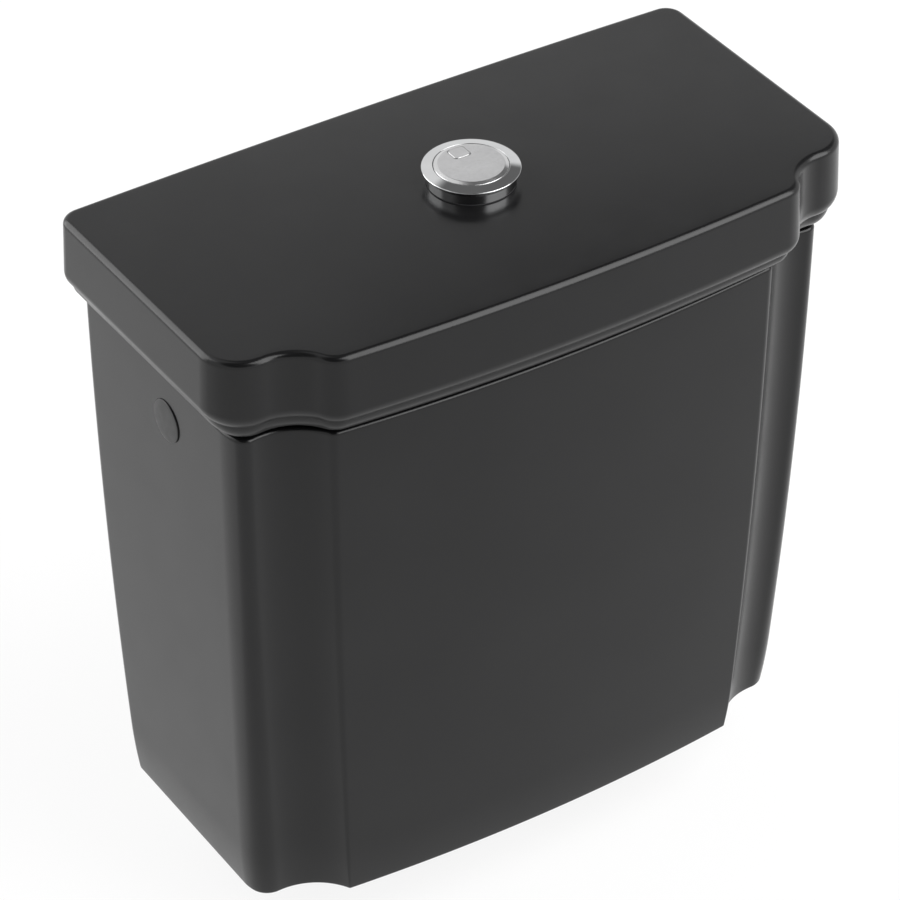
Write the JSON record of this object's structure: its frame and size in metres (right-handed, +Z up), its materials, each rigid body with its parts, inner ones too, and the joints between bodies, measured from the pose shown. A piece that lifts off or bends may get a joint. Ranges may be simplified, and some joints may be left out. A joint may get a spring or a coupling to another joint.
{
  "type": "toilet cistern",
  "caption": "Close-coupled toilet cistern: black glazed tank with scalloped front corners, loose lid, chrome two-button flush, flush valve and side fill valve inside.",
  "frame": {"origin": "on the flush outlet's axis, level with the foot of the tank that sits on the pan, midway between the two pan bolts", "axes": "+Z up, +Y to the wall behind the cistern, +X to the right seen from the front"},
  "size_m": [0.4108, 0.2047, 0.4438],
  "materials": {
    "black_glaze": "satin black glaze",
    "chrome": "polished",
    "satin_chrome": "satin",
    "black_plastic": "satin",
    "rubber": "matte",
    "white_plastic": "moulded",
    "blue_plastic": "moulded",
    "grey_plastic": "moulded",
    "brass": "turned",
    "steel": "drawn"
  },
  "bodies": {
    "tank": {"tank": "black_glaze", "valve_base": "white_plastic", "base_gasket": "rubber", "back_nut": "white_plastic", "pan_seal": "rubber", "valve_tower": "white_plastic", "actuator_bracket": "blue_plastic", "rocker_pins": "steel", "fill_valve_body": "white_plastic", "inlet_seal": "rubber", "inlet_nut": "white_plastic", "inlet_filter": "grey_plastic", "valve_cap": "blue_plastic", "diaphragm": "rubber", "lever_pin": "steel", "fill_tube": "white_plastic", "blanking_plug": "black_plastic", "plug_seal": "rubber", "plug_nut": "white_plastic", "coupling_bolts": "brass", "bolt_seals": "rubber", "bolt_washers": "steel", "bolt_nuts": "brass"},
    "lid": {"lid": "black_glaze", "lid_buffers": "rubber", "button_bezel": "chrome", "bezel_gasket": "rubber", "bezel_nut": "white_plastic", "full_flush_spring": "steel", "half_flush_spring": "steel"},
    "full_button": {"full_flush_button": "satin_chrome", "full_flush_rod": "white_plastic"},
    "half_button": {"half_flush_button": "satin_chrome", "half_flush_rod": "white_plastic"},
    "full_rocker": {"full_flush_rocker": "blue_plastic"},
    "half_rocker": {"half_flush_rocker": "blue_plastic"},
    "flush_tube": {"overflow_tube": "white_plastic", "seat_seal": "rubber", "seal_clamp": "grey_plastic", "full_flush_float": "grey_plastic", "lift_yoke": "blue_plastic"},
    "half_lift": {"half_flush_link": "blue_plastic", "half_flush_float": "grey_plastic"},
    "fill_float": {"float_cup": "grey_plastic", "adjuster_rod": "steel"},
    "fill_lever": {"float_lever": "white_plastic"}
  },
  "joints": [
    {"name": "lid_lift", "type": "slide", "parent": "tank", "child": "lid", "axis": [0, 0, 1], "range_m": [0, 0.15]},
    {"name": "full_flush", "type": "slide", "parent": "lid", "child": "full_button", "axis": [0, 0, -1], "range_m": [0, 0.004], "stiffness_N_per_m": 300, "springref_m": -0.008, "deforming": ["full_flush_spring"]},
    {"name": "half_flush", "type": "slide", "parent": "lid", "child": "half_button", "axis": [0, 0, -1], "range_m": [0, 0.004], "stiffness_N_per_m": 300, "springref_m": -0.006, "deforming": ["half_flush_spring"]},
    {"name": "full_rocker_turn", "type": "hinge", "parent": "tank", "child": "full_rocker", "pos_m": [0, 0.008, 0.303], "axis": [1, 0, 0], "range_deg": [0, 14.95]},
    {"name": "half_rocker_turn", "type": "hinge", "parent": "tank", "child": "half_rocker", "pos_m": [0, -0.005, 0.303], "axis": [-1, 0, 0], "range_deg": [0, 14.95]},
    {"name": "tube_lift", "type": "slide", "parent": "tank", "child": "flush_tube", "axis": [0, 0, 1], "range_m": [0, 0.00681]},
    {"name": "half_float_lift", "type": "slide", "parent": "tank", "child": "half_lift", "axis": [0, 0, 1], "range_m": [0, 0.00681]},
    {"name": "float_rise", "type": "slide", "parent": "tank", "child": "fill_float", "axis": [0, 0, 1], "range_m": [0, 0.012]},
    {"name": "lever_turn", "type": "hinge", "parent": "tank", "child": "fill_lever", "pos_m": [0.13987, 0.007, 0.322], "axis": [0, 1, 0], "range_deg": [0, 17.24]}
  ],
  "couplings": [
    {"joint": "full_rocker_turn", "follows": "full_flush", "rad_per_m": 65},
    {"joint": "tube_lift", "follows": "full_flush", "ratio": 1.7},
    {"joint": "half_rocker_turn", "follows": "half_flush", "rad_per_m": 65},
    {"joint": "half_float_lift", "follows": "half_flush", "ratio": 1.7},
    {"joint": "lever_turn", "follows": "float_rise", "rad_per_m": 25}
  ]
}
